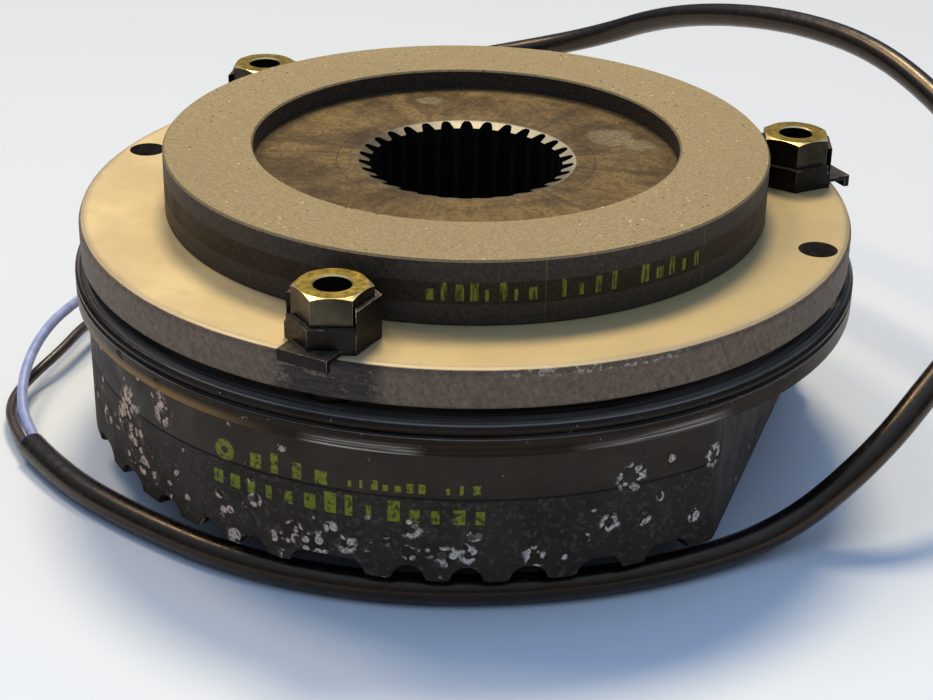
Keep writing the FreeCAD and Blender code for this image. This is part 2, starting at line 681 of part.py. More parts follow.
def make_clip(i):
    """Sheet cup that fits over the hexagon, with a tab whose lip hooks over the armature's rim."""
    plate_top = HEAD_BOTTOM
    reach = f"(clip_tab_reach + {TAB_EXTRA[i]})"
    cup = hexagon(f"clip_{i}_cup", "clip_outer_hex", "clip_plate_thickness + clip_high_wall",
                  ARMATURE_TOP)
    inside = hexagon(f"clip_{i}_inside", "clip_inner_hex", "clip_high_wall + 1", plate_top)
    shell = boolean("Part::Cut", f"clip_{i}_shell", cup, inside)
    tab = primitive("Part::Box", f"clip_{i}_tab", Length=f"{reach} - 4",
                    Width="clip_tab_width", Height="clip_plate_thickness",
                    Placement_Base_x="4", Placement_Base_y="-clip_tab_width / 2",
                    Placement_Base_z=ARMATURE_TOP)
    lip = primitive("Part::Box", f"clip_{i}_lip", Length="clip_lip_thickness",
                    Width="clip_tab_width", Height="clip_lip_drop + clip_plate_thickness",
                    Placement_Base_x=f"{reach} - clip_lip_thickness",
                    Placement_Base_y="-clip_tab_width / 2",
                    Placement_Base_z=f"{ARMATURE_TOP} - clip_lip_drop")
    with_tab = boolean("Part::MultiFuse", f"clip_{i}_with_tab", shell, tab)
    with_lip = boolean("Part::MultiFuse", f"clip_{i}_with_lip", with_tab, lip)
    hole = primitive("Part::Cylinder", f"clip_{i}_hole", Radius="clip_shank_hole_radius",
                     Height="clip_plate_thickness + 2", Placement_Base_z=f"{ARMATURE_TOP} - 1")
    pierced = boolean("Part::Cut", f"clip_{i}_pierced", with_lip, hole)
    wall_length = number("clip_outer_hex / 2 / cos(30)")
    cuts = []
    for side in LOW_WALLS[i]:
        block = Part.makeBox(3.0, wall_length, size("clip_high_wall"),
                             Vector(size("clip_outer_hex") / 2 - 1.6, -wall_length / 2,
                                    number(plate_top) + size("clip_low_wall")))
        block.rotate(Vector(), Vector(0, 0, 1), 30 + 60 * side)
        cuts.append(block)
    slit = Part.makeBox(4.0, 1.2, size("clip_high_wall"),
                        Vector(size("clip_outer_hex") / 2 - 1, -0.6,
                               number(plate_top) + size("clip_low_wall") * 0.6))
    slit.rotate(Vector(), Vector(0, 0, 1), 60 * SLIT_CORNER[i])
    cuts.append(slit)
    reliefs = feature(f"clip_{i}_reliefs", Part.makeCompound(cuts))
    clip = boolean("Part::Cut", f"locking_clip_{i}", pierced, reliefs)
    clip.Placement = sleeve_placement(i)
    return clip


# ---------------------------------------------------------------------------------------------
# Lead: grommet, sheathed cable, core wires and their ferrules
# ---------------------------------------------------------------------------------------------
# Middle of the cable, from inside the radial hole, round the back and the right side, down to
# the floor, along the front just under the rib ends, and out to the stripped end at the left.
CABLE_ROUTE = [
    (-24.0, 65.9, 21.0), (-33.7, 92.6, 21.0), (-33.2, 120.0, 23.0), (-15.5, 138.5, 26.0),
    (10.5, 146.0, 28.5), (32.5, 139.0, 35.5), (47.5, 123.0, 46.0), (62.0, 104.0, 53.0),
    (77.0, 86.0, 56.5), (90.5, 67.0, 56.5), (101.0, 45.5, 52.0), (107.5, 21.5, 46.5),
    (107.6, -0.5, 40.5), (99.7, -20.5, 35.5), (88.2, -32.6, 28.0), (74.5, -45.3, 16.5),
    (57.8, -51.1, 3.2), (34.5, -63.8, 2.7), (9.6, -69.9, 2.7), (-14.7, -69.9, 2.7),
    (-38.1, -62.8, 2.7), (-58.4, -49.1, 2.7), (-74.7, -34.4, 2.7), (-82.8, -22.2, 2.7),
]
BLUE_ROUTE = [
    (-81.8, -21.6, 2.9), (-86.0, -14.3, 4.0), (-88.4, -3.8, 6.4), (-88.4, 7.5, 8.3),
    (-86.6, 18.2, 9.4), (-84.0, 28.3, 9.0), (-81.9, 38.9, 7.2), (-78.0, 49.0, 4.6),
    (-71.9, 58.1, 2.4), (-64.5, 66.2, 1.5), (-56.4, 72.8, 1.5),
]
BROWN_ROUTE = [
    (-83.8, -22.8, 2.6), (-88.6, -14.1, 2.8), (-90.8, -3.9, 2.9), (-88.6, 6.3, 3.1),
    (-83.9, 15.5, 4.8), (-81.3, 25.2, 5.4), (-78.2, 34.8, 4.2), (-73.8, 44.4, 2.5),
    (-67.7, 53.0, 1.5), (-60.1, 60.1, 1.5), (-51.4, 66.2, 1.5),
]


def rounded_path(name, points):
    """Straight runs joined by tangent arcs, each arc as large as its two runs allow."""
    places = [Vector(*point) for point in points]
    edges = []
    radii = []
    start = places[0]
    for before, here, after in zip(places, places[1:], places[2:]):
        back = before - here
        ahead = after - here
        shorter = min(back.Length, ahead.Length)
        turn = math.pi - back.getAngle(ahead)
        radius = 0.45 * shorter / math.tan(turn / 2)
        radii.append(radius)
        back.normalize()
        ahead.normalize()
        first = here + back * (0.45 * shorter)
        last = here + ahead * (0.45 * shorter)
        inward = (back + ahead).normalize()
        middle = here + inward * (radius / math.cos(turn / 2) - radius)
        edges.append(line(start, first))
        edges.append(arc(first, middle, last))
        start = last
    edges.append(line(start, places[-1]))
    path = Part.Wire(edges)
    print(f"{name}: length {path.Length:.1f} mm, radii", [round(r, 1) for r in radii])
    return path


def make_tube(name, points, radius):
    path = rounded_path(name, points)
    along = Vector(*points[1]) - Vector(*points[0])
    section = Part.Wire([Part.Circle(Vector(*points[0]), along, radius).toShape()])
    tube = path.makePipeShell([section], True, False)
    expected = math.pi * radius ** 2 * path.Length
    if abs(tube.Volume / expected - 1) > 0.01:
        raise RuntimeError(f"{name}: volume {tube.Volume:.0f}, expected {expected:.0f}")
    return feature(name, tube)


def along_route_end(points):
    """Placement at the far end of a route whose local Z goes on along it."""
    end = Vector(*points[-1])
    direction = end - Vector(*points[-2])
    return Placement(end, Rotation(Vector(0, 0, 1), direction))


def make_ferrule(colour, points):
    collar = primitive("Part::Cylinder", f"ferrule_{colour}_collar",
                       Radius="ferrule_collar_radius", Height="ferrule_collar_length")
    pin = primitive("Part::Cylinder", f"ferrule_{colour}_pin", Radius="ferrule_pin_radius",
                    Height="ferrule_collar_length + ferrule_pin_length")
    ferrule = boolean("Part::MultiFuse", f"ferrule_{colour}", collar, pin)
    ferrule.Placement = along_route_end(points)
    return ferrule


def radial_placement(radius):
    """Placement on the axis of the cable hole whose local Z points outwards."""
    outward = polar(1.0, size("cable_azimuth"))
    start = polar(radius, size("cable_azimuth"), size("cable_z"))
    return Placement(start, Rotation(Vector(0, 0, 1), outward))


def make_grommet():
    wall = "(body_radius - grommet_inner_radius)"
    flange = f"({wall} + grommet_flange_thickness)"
    body = turned_body("cable_grommet", [
        ("grommet_bore_radius", "0"),
        ("grommet_body_radius", "0"),
        ("grommet_body_radius", wall),
        ("grommet_flange_radius", wall),
        ("grommet_flange_radius", f"{flange} - 0.5"),
        ("grommet_flange_radius - 0.5", flange),
        ("grommet_nose_radius + 1", flange),
        ("grommet_nose_radius", f"{flange} + grommet_nose_length"),
        ("grommet_bore_radius", f"{flange} + grommet_nose_length"),
    ])
    body.Placement = radial_placement(size("grommet_inner_radius"))
    return body


def make_coil_leads():
    """The two ends of the winding, inside the grommet up to the cable's inner end."""
    winding_radius = number("coil_outer_radius - coil_clearance - bobbin_wall")
    start = Vector(*CABLE_ROUTE[0])
    reach = math.hypot(start.x, start.y) - winding_radius
    leads = []
    for i, side in ((1, -1), (2, 1)):
        lead = primitive("Part::Cylinder", f"coil_lead_{i}", Radius="lead_radius")
        lead.Height = reach
        placement = radial_placement(winding_radius)
        sideways = Rotation(Vector(0, 0, 1), size("cable_azimuth")).multVec(Vector(0, 1, 0))
        placement.Base = placement.Base + sideways * (1.2 * side)
        lead.Placement = placement
        leads.append(lead)
    return leads


parts = [make_housing()]
parts += make_coil()
parts += make_springs()
parts.append(make_adjuster())
parts.append(make_armature())
parts += make_rotor()
for number_of_sleeve in SLEEVES:
    parts.append(make_sleeve(number_of_sleeve))
    parts.append(make_clip(number_of_sleeve))
parts.append(make_grommet())
parts += make_coil_leads()
parts.append(make_tube("connection_cable", CABLE_ROUTE, size("cable_radius")))
parts.append(make_tube("core_wire_blue", BLUE_ROUTE, size("core_radius")))
parts.append(make_tube("core_wire_brown", BROWN_ROUTE, size("core_radius")))
parts.append(make_ferrule("blue", BLUE_ROUTE))
parts.append(make_ferrule("brown", BROWN_ROUTE))
doc.recompute()

# ---------------------------------------------------------------------------------------------
# Check every object, then write one STEP file for each piece
# ---------------------------------------------------------------------------------------------
for item in doc.Objects:
    if {"Invalid", "Error"} & set(item.State):
        raise RuntimeError(f"{item.Label}: {item.State}")
for piece in parts:
    if piece.Shape.isNull() or not piece.Shape.isValid():
        raise RuntimeError(f"{piece.Label}: bad shape")
    if len(piece.Shape.Solids) != 1:
        raise RuntimeError(f"{piece.Label}: {len(piece.Shape.Solids)} solids")

os.makedirs("parts", exist_ok=True)
for piece in parts:
    piece.Shape.exportStep(f"parts/{piece.Label}.step")
    print(f"{piece.Label}: {piece.Shape.Volume / 1000:.2f} cm3")
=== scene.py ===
import math

import bpy
from mathutils import Matrix, Vector


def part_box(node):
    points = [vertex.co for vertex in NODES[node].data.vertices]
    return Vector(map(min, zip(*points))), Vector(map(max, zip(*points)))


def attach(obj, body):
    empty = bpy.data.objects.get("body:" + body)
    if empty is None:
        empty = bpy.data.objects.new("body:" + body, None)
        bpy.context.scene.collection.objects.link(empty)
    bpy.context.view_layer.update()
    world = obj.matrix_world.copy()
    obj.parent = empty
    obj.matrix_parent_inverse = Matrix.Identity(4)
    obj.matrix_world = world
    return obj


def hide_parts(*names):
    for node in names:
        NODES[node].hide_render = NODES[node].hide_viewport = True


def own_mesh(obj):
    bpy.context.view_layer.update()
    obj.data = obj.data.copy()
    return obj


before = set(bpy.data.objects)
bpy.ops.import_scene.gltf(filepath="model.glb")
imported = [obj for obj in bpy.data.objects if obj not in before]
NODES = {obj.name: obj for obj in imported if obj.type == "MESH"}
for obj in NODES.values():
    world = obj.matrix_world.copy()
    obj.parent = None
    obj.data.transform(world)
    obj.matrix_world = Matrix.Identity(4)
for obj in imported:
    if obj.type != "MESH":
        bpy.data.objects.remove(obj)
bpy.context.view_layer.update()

HOUSING_LOW, HOUSING_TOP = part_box("stator_housing")
ARMATURE_LOW, ARMATURE_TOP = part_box("armature_plate")
LINING_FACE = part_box("outer_friction_lining")[1].z
CARRIER_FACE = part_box("rotor_carrier")[1].z

BAND_RADIUS = HOUSING_TOP.x
BAND_TOP = HOUSING_TOP.z
BAND_FOOT = BAND_TOP - 0.0055
BAND_INNER = 0.0600  # the machined rim's inner edge on the pole face
TURNED_FOOT = BAND_TOP - 0.0147
RIB_FOOT = HOUSING_LOW.z + 0.0058
BODY_RADIUS = BAND_RADIUS - 0.0017
BORE_MOUTH = 0.0252
ARMATURE_RADIUS = (ARMATURE_TOP.x - ARMATURE_LOW.x) / 2
LINING_BORE = 0.0406
BUSH_EDGE = 0.0248
SPLINE_ROOT = 0.0206

CAMERA_PLACE = (0.0, -0.3604, 0.1934)
CAMERA_TURN = (0.462, 0.002, 0.018)  # down, to the right and round its own axis, in radians
SENSOR_WIDTH = 36.0  # millimetres, as is the focal length
FOCAL_LENGTH = 77.43

# Where the cable and its two cores lie, in metres.
CABLE_DIAMETER = 0.0054
CABLE_ROUTE = [
    (-0.0240, 0.0659, 0.0210), (-0.0337, 0.0926, 0.0210), (-0.0332, 0.1200, 0.0230),
    (-0.0155, 0.1385, 0.0260), (0.0105, 0.1460, 0.0285), (0.0325, 0.1390, 0.0355),
    (0.0475, 0.1230, 0.0460), (0.0620, 0.1040, 0.0530), (0.0770, 0.0860, 0.0565),
    (0.0905, 0.0670, 0.0565), (0.1010, 0.0455, 0.0520), (0.1075, 0.0215, 0.0465),
    (0.1076, -0.0005, 0.0405), (0.0997, -0.0205, 0.0355), (0.0882, -0.0326, 0.0280),
    (0.0745, -0.0453, 0.0165), (0.0578, -0.0511, 0.0032), (0.0345, -0.0638, 0.0027),
    (0.0096, -0.0699, 0.0027), (-0.0147, -0.0699, 0.0027), (-0.0381, -0.0628, 0.0027),
    (-0.0584, -0.0491, 0.0027), (-0.0747, -0.0344, 0.0027), (-0.0828, -0.0222, 0.0027),
]
CORE_DIAMETER = 0.0021
BLUE_ROUTE = [
    (-0.0818, -0.0216, 0.0029), (-0.0860, -0.0143, 0.0040), (-0.0884, -0.0038, 0.0064),
    (-0.0884, 0.0075, 0.0083), (-0.0866, 0.0182, 0.0094), (-0.0840, 0.0283, 0.0090),
    (-0.0819, 0.0389, 0.0072), (-0.0780, 0.0490, 0.0046), (-0.0719, 0.0581, 0.0024),
    (-0.0645, 0.0662, 0.0015), (-0.0564, 0.0728, 0.0015),
]
BROWN_ROUTE = [
    (-0.0838, -0.0228, 0.0026), (-0.0886, -0.0141, 0.0028), (-0.0908, -0.0039, 0.0029),
    (-0.0886, 0.0063, 0.0031), (-0.0839, 0.0155, 0.0048), (-0.0813, 0.0252, 0.0054),
    (-0.0782, 0.0348, 0.0042), (-0.0738, 0.0444, 0.0025), (-0.0677, 0.0530, 0.0015),
    (-0.0601, 0.0601, 0.0015), (-0.0514, 0.0662, 0.0015),
]


class Look:
    """A procedural material: one Principled shader and the pattern nodes that feed it.

    Patterns are in the part's own coordinates: x, y, z, and radius about Z, in metres.
    """

    def __init__(self, name, colour, roughness, metallic=0.0, **others):
        self.material = bpy.data.materials.new(name)
        self.material.use_nodes = True
        self.tree = self.material.node_tree
        self.shader = self.tree.nodes["Principled BSDF"]
        where = self.tree.nodes.new("ShaderNodeTexCoord")
        self.place = where.outputs["Object"]
        self.facing_up = self.split(where.outputs["Normal"])[2]
        self.x, self.y, self.z = self.split(self.place)
        self.radius = self.maths("SQRT", self.maths("ADD", self.maths("POWER", self.x, 2.0),
                                                    self.maths("POWER", self.y, 2.0)))
        self.feed("Base Color", colour)
        self.feed("Roughness", roughness)
        self.feed("Metallic", metallic)
        for socket, value in others.items():
            self.feed(socket.replace("_", " "), value)

    def feed(self, socket, value):
        self.put(self.shader.inputs[socket], value)

    def put(self, socket, value):
        """A number or colour goes on the socket itself, and a pattern is linked to it."""
        if isinstance(value, bpy.types.NodeSocket):
            self.tree.links.new(value, socket)
        elif isinstance(value, tuple) and len(value) == 3 and socket.type == "RGBA":
            socket.default_value = (*value, 1.0)
        else:
            socket.default_value = value

    def split(self, vector):
        node = self.tree.nodes.new("ShaderNodeSeparateXYZ")
        self.put(node.inputs[0], vector)
        return node.outputs

    def maths(self, operation, *values):
        node = self.tree.nodes.new("ShaderNodeMath")
        node.operation = operation
        for socket, value in zip(node.inputs, values):
            self.put(socket, value)
        return node.outputs[0]

    def add(self, a, b):
        return self.maths("ADD", a, b)

    def times(self, a, b):
        return self.maths("MULTIPLY", a, b)

    def most(self, a, b):
        return self.maths("MAXIMUM", a, b)

    def but(self, a, b):
        """Pattern a where pattern b is not."""
        return self.times(a, self.maths("SUBTRACT", 1.0, b))

    def span(self, value, start, end, low=0.0, high=1.0):
        """Goes smoothly from low, where value is at start, to high, where it is at end."""
        node = self.tree.nodes.new("ShaderNodeMapRange")
        node.interpolation_type = "SMOOTHSTEP"
        for socket, number in zip(node.inputs, (value, start, end, low, high)):
            self.put(socket, number)
        return node.outputs[0]

    def within(self, value, low, high, edge):
        """One between low and high, zero outside them."""
        return self.times(self.span(value, low - edge, low), self.span(value, high + edge, high))

    def mix(self, share, a, b):
        node = self.tree.nodes.new("ShaderNodeMix")
        node.data_type = "RGBA"
        self.put(node.inputs["Factor"], share)
        self.put(node.inputs[6], a)
        self.put(node.inputs[7], b)
        return node.outputs[2]

    def noise(self, size, detail=4.0, rough=0.55, place=None, twist=0.0):
        """A cloudy pattern from 0 to 1, its features about size metres across."""
        node = self.tree.nodes.new("ShaderNodeTexNoise")
        self.put(node.inputs["Vector"], place or self.place)
        node.inputs["Scale"].default_value = 1.0 / size
        node.inputs["Detail"].default_value = detail
        node.inputs["Roughness"].default_value = rough
        node.inputs["Distortion"].default_value = twist
        return node.outputs["Fac"]

    def cells(self, size, place=None):
        """The distance to the middle of random cells, in cells, and a number for each cell."""
        node = self.tree.nodes.new("ShaderNodeTexVoronoi")
        self.put(node.inputs["Vector"], place or self.place)
        node.inputs["Scale"].default_value = 1.0 / size
        return node.outputs["Distance"], self.split(node.outputs["Color"])[0]

    def joined(self, x, y, z):
        node = self.tree.nodes.new("ShaderNodeCombineXYZ")
        for socket, value in zip(node.inputs, (x, y, z)):
            self.put(socket, value)
        return node.outputs[0]

    def ring_place(self, along, across, radius=0.06):
        """Coordinates that stretch a pattern of size 1 along circles about Z."""
        turn = radius / along
        return self.joined(
            self.times(self.maths("DIVIDE", self.x, self.radius), turn),
            self.times(self.maths("DIVIDE", self.y, self.radius), turn),
            self.times(self.add(self.radius, self.z), 1.0 / across),
        )

    def towards(self, azimuth, start, end):
        """One on the side of the axis that faces azimuth, in degrees from +X, fading round it."""
        turn = math.radians(azimuth)
        across = self.add(self.times(self.x, math.cos(turn)), self.times(self.y, math.sin(turn)))
        return self.span(self.maths("DIVIDE", across, self.radius), start, end)

    def near(self, azimuth, radius, height, size, wobble, hollow=0.0):
        """A ragged patch, or a ring if it is hollow, about a point on a circle about Z."""
        turn = math.radians(azimuth)
        centre = (radius * math.cos(turn), radius * math.sin(turn), height)
        node = self.tree.nodes.new("ShaderNodeVectorMath")
        node.operation = "DISTANCE"
        self.put(node.inputs[0], self.place)
        self.put(node.inputs[1], centre)
        ragged = self.times(self.maths("SUBTRACT", wobble, 0.5), size * 1.2)
        far = self.add(node.outputs["Value"], ragged)
        patch = self.span(far, size * 1.1, size * 0.8)
        if hollow:
            patch = self.times(patch, self.span(far, size * (hollow - 0.12), size * hollow))
        return patch

    def azimuth(self):
        """Degrees round Z from +X."""
        return self.times(self.maths("ARCTAN2", self.y, self.x), 180.0 / math.pi)

    def printed(self, azimuth, start, end, low, high, count):
        """A row of plain printed blocks of uneven size between two azimuths and two heights."""
        pitch = (end - start) / count
        along = self.times(self.maths("SUBTRACT", azimuth, start), 1.0 / pitch)
        node = self.tree.nodes.new("ShaderNodeTexWhiteNoise")
        node.noise_dimensions = "1D"
        self.put(node.inputs["W"], self.add(self.maths("FLOOR", along), start))
        width = self.span(node.outputs["Value"], 0.0, 1.0, 0.28, 0.62)
        top = self.span(self.split(node.outputs["Color"])[1], 0.3, 0.7, low + (high - low) * 0.62, high)
        step = self.maths("FRACT", along)
        across = self.times(self.span(step, 0.04, 0.12),
                            self.span(self.maths("SUBTRACT", step, width), 0.06, 0.0))
        upward = self.times(self.span(self.z, low - 0.0001, low),
                            self.span(self.maths("SUBTRACT", self.z, top), 0.0001, 0.0))
        return self.times(self.times(across, upward), self.within(azimuth, start, end, 0.05))

    def worn_edges(self, size, start=0.02, end=0.25):
        """Bright along the solid's sharp edges, size metres wide."""
        bevel = self.tree.nodes.new("ShaderNodeBevel")
        bevel.samples = 6
        bevel.inputs["Radius"].default_value = size
        plain = self.tree.nodes.new("ShaderNodeNewGeometry")
        turn = self.tree.nodes.new("ShaderNodeVectorMath")
        turn.operation = "DOT_PRODUCT"
        self.put(turn.inputs[0], bevel.outputs[0])
        self.put(turn.inputs[1], plain.outputs["Normal"])
        return self.span(self.maths("SUBTRACT", 1.0, turn.outputs["Value"]), start, end)

    def bump(self, height, depth):
        """Raises the surface by depth metres where the pattern is one. Calls add up."""
        node = self.tree.nodes.new("ShaderNodeBump")
        node.inputs["Distance"].default_value = depth
        self.put(node.inputs["Height"], height)
        before = self.shader.inputs["Normal"].links
        if before:
            self.put(node.inputs["Normal"], before[0].from_socket)
        self.put(self.shader.inputs["Normal"], node.outputs[0])


def dress(look, *names):
    """Gives CAD nodes a look, through their material slots."""
    for name in names:
        for place in NODES[name].material_slots:
            place.material = look.material


# ---- Camera and cords ----

def make_camera():
    """A camera in front of the axis, 193 mm above the plane that the unit stands on."""
    data = bpy.data.cameras.new("camera")
    data.sensor_width = SENSOR_WIDTH
    data.lens = FOCAL_LENGTH
    camera = bpy.data.objects.new("camera", data)
    bpy.context.scene.collection.objects.link(camera)
    pitch, yaw, roll = CAMERA_TURN
    ahead = Vector((math.sin(yaw) * math.cos(pitch), math.cos(yaw) * math.cos(pitch), -math.sin(pitch)))
    right = Vector((math.cos(yaw), -math.sin(yaw), 0.0))
    up = right.cross(ahead)
    across = right * math.cos(roll) + up * math.sin(roll)
    upright = up * math.cos(roll) - right * math.sin(roll)
    turned = Matrix((across, upright, -ahead)).transposed().to_4x4()
    camera.matrix_world = Matrix.Translation(CAMERA_PLACE) @ turned
    bpy.context.scene.camera = camera


def make_cord(name, route, diameter, look):
    """A round cord along a smooth curve guided by the route's points."""
    data = bpy.data.curves.new(name, "CURVE")
    data.dimensions = "3D"
    data.bevel_depth = diameter / 2
    data.bevel_resolution = 7
    data.resolution_u = 16
    data.use_fill_caps = True
    line = data.splines.new("NURBS")
    line.points.add(len(route) - 1)
    for point, place in zip(line.points, route):
        point.co = (*place, 1.0)
    line.order_u = 3
    line.use_endpoint_u = True
    data.materials.append(look.material)
    cord = bpy.data.objects.new(name, data)
    bpy.context.scene.collection.objects.link(cord)
    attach(cord, "stator")
    return cord


def sheath_look():
    """Black flexible sheathing with a waxy brown sheen, dust and faint handling marks."""
    look = Look("sheath_look", (0.02, 0.015, 0.012), 0.3, Specular_IOR_Level=0.65,
                Specular_Tint=(1.0, 0.70, 0.46))
    dust = look.span(look.noise(0.004, 6.0, 0.7), 0.45, 0.8)
    look.feed("Base Color", look.mix(dust, (0.005, 0.004, 0.004), (0.020, 0.013, 0.010)))
    look.feed("Roughness", look.span(look.noise(0.0016, 5.0), 0.3, 0.75, 0.22, 0.36))
    look.bump(look.noise(0.012, 2.0), 0.00008)
    look.bump(look.noise(0.0005, 3.0), 0.00001)
    return look


def core_look(name, pale, dark):
    """Smooth insulation of a core, a little uneven in tone."""
    look = Look(name, pale, 0.35, Specular_IOR_Level=0.5)
    look.feed("Base Color", look.mix(look.span(look.noise(0.003, 4.0), 0.35, 0.7), dark, pale))
    look.feed("Roughness", look.span(look.noise(0.001, 3.0), 0.3, 0.7, 0.28, 0.45))
    look.bump(look.noise(0.0008, 2.0), 0.00001)
    return look


def make_cords():
    """The lead and its two cores, each in the place of the solid that has its route."""
    cable = make_cord("cable_sheath_run", CABLE_ROUTE, CABLE_DIAMETER, sheath_look())
    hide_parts("connection_cable")
    blue = make_cord("blue_core_run", BLUE_ROUTE, CORE_DIAMETER,
                     core_look("blue_core_look", (0.42, 0.46, 0.72), (0.30, 0.33, 0.55)))
    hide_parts("core_wire_blue")
    brown = make_cord("brown_core_run", BROWN_ROUTE, CORE_DIAMETER,
                      core_look("brown_core_look", (0.075, 0.045, 0.028), (0.035, 0.022, 0.015)))
    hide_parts("core_wire_brown")


# ---- Looks of the solid pieces ----

PATCHES = [  # azimuth, height, size and hollowness of corroded patches on the housing wall
    (-144.5, 0.0230, 0.0036, 0.0), (-135.5, 0.0262, 0.0026, 0.0), (-143.0, 0.0174, 0.0030, 0.0),
    (-149.0, 0.0170, 0.0021, 0.0), (-154.0, 0.0152, 0.0019, 0.0), (-147.0, 0.0200, 0.0020, 0.0),
    (-141.0, 0.0127, 0.0017, 0.0), (-133.5, 0.0158, 0.0012, 0.0), (-124.0, 0.0120, 0.0013, 0.0),
    (-118.7, 0.0166, 0.0015, 0.3), (-114.5, 0.0106, 0.0024, 0.0), (-112.8, 0.0130, 0.0017, 0.0),
    (-109.7, 0.0107, 0.0026, 0.0), (-107.4, 0.0148, 0.0013, 0.0), (-105.3, 0.0120, 0.0020, 0.0),
    (-96.5, 0.0164, 0.0019, 0.4), (-96.8, 0.0118, 0.0014, 0.0), (-94.0, 0.0126, 0.0015, 0.0),
    (-91.6, 0.0114, 0.0020, 0.0), (-88.9, 0.0120, 0.0018, 0.5), (-88.0, 0.0158, 0.0013, 0.0),
    (-80.0, 0.0110, 0.0020, 0.0), (-73.0, 0.0137, 0.0009, 0.0), (-69.7, 0.0159, 0.0018, 0.5),
    (-66.9, 0.0240, 0.0026, 0.55), (-64.5, 0.0154, 0.0014, 0.0), (-62.3, 0.0189, 0.0009, 0.5),
    (-61.0, 0.0257, 0.0011, 0.0), (-56.3, 0.0129, 0.0013, 0.0), (-53.2, 0.0236, 0.0024, 0.6),
    (-40.0, 0.0150, 0.0026, 0.0), (-8.0, 0.0200, 0.0030, 0.5), (14.0, 0.0130, 0.0028, 0.0),
    (47.0, 0.0170, 0.0034, 0.0), (55.0, 0.0120, 0.0020, 0.0), (88.0, 0.0210, 0.0026, 0.5),
    (126.0, 0.0150, 0.0030, 0.0), (138.0, 0.0220, 0.0022, 0.0), (176.0, 0.0180, 0.0032, 0.0),
]


def housing_paint(look, cast, inside, grain):
    """Uneven black paint, greyer where the casting was never turned, with a dark seam between."""
    patchy = look.noise(0.016, 5.0, 0.6)
    paint = look.mix(look.span(patchy, 0.35, 0.7), (0.021, 0.017, 0.013), (0.040, 0.033, 0.027))
    paint = look.mix(look.times(cast, look.span(grain, 0.50, 0.70)), paint, (0.088, 0.074, 0.062))
    wander = look.times(look.maths("SUBTRACT", look.noise(0.005, 5.0, 0.7), 0.5), 0.0012)
    seam = look.within(look.add(look.z, wander), TURNED_FOOT - 0.0001, TURNED_FOOT + 0.0001, 0.0003)
    return look.mix(look.times(look.but(seam, inside), 0.35), paint, (0.008, 0.006, 0.005))


def housing_print(look, paint):
    """Worn rows of printed blocks and a printed ring on the housing's front, over the paint."""
    azimuth = look.azimuth()
    ink = look.printed(azimuth, -119.5, -106.5, 0.0230, 0.0270, 4)
    ink = look.most(ink, look.printed(azimuth, -105.0, -94.0, 0.0235, 0.0252, 7))
    ink = look.most(ink, look.printed(azimuth, -92.0, -86.7, 0.0235, 0.0252, 3))
    ink = look.most(ink, look.printed(azimuth, -125.8, -85.3, 0.0178, 0.0217, 14))
    ink = look.most(ink, look.near(-123.5, BODY_RADIUS, 0.0246, 0.0021, 0.5, 0.4))
    wear = look.span(look.noise(0.0009, 5.0, 0.75), 0.62, 0.48, 0.05, 0.92)
    colour = look.mix(look.noise(0.004, 3.0), (0.16, 0.180, 0.012), (0.31, 0.345, 0.028))
    return look.mix(look.times(ink, wear), paint, colour)


def housing_crust(look, paint):
    """The paint with its corroded spots, and the pattern of the pale crust on them."""
    wobble = look.noise(0.0014, 4.0, 0.65)
    low = look.span(look.z, 0.024, RIB_FOOT)
    left = look.towards(205.0, -0.1, 1.0)
    density = look.add(look.times(low, 0.26), look.times(left, 0.36))
    spots = 0.0
    for size, gain in ((0.0075, 0.7), (0.0030, 1.1)):
        far, chance = look.cells(size)
        reach = look.times(look.maths("SUBTRACT", look.add(chance, density), 1.0), gain)
        ragged = look.add(far, look.times(look.maths("SUBTRACT", wobble, 0.5), 0.35))
        spots = look.most(spots, look.span(look.maths("SUBTRACT", reach, ragged), 0.0, 0.07))
    for turn, height, size, hollow in PATCHES:
        spots = look.most(spots, look.near(turn, BODY_RADIUS, height, size, wobble, hollow))
    far, chance = look.cells(0.0015)
    bubbles = look.times(look.span(far, 0.62, 0.50), look.span(chance, 0.10, 0.16, 0.1, 1.0))
    powder = look.noise(0.00042, 3.0, 0.7)
    crust = look.times(look.times(spots, bubbles), look.span(powder, 0.34, 0.50, 0.15, 1.0))
    colour = look.mix(look.towards(195.0, 0.2, 0.95), (0.76, 0.68, 0.58), (0.76, 0.55, 0.42))
    burst = look.times(look.span(far, 0.40, 0.15), look.span(chance, 0.2, 0.9, 0.6, 0.0))
    colour = look.mix(burst, colour, (0.20, 0.15, 0.11))
    body = look.mix(look.times(spots, 0.8), paint, (0.022, 0.015, 0.010))
    return look.mix(crust, body, colour), crust


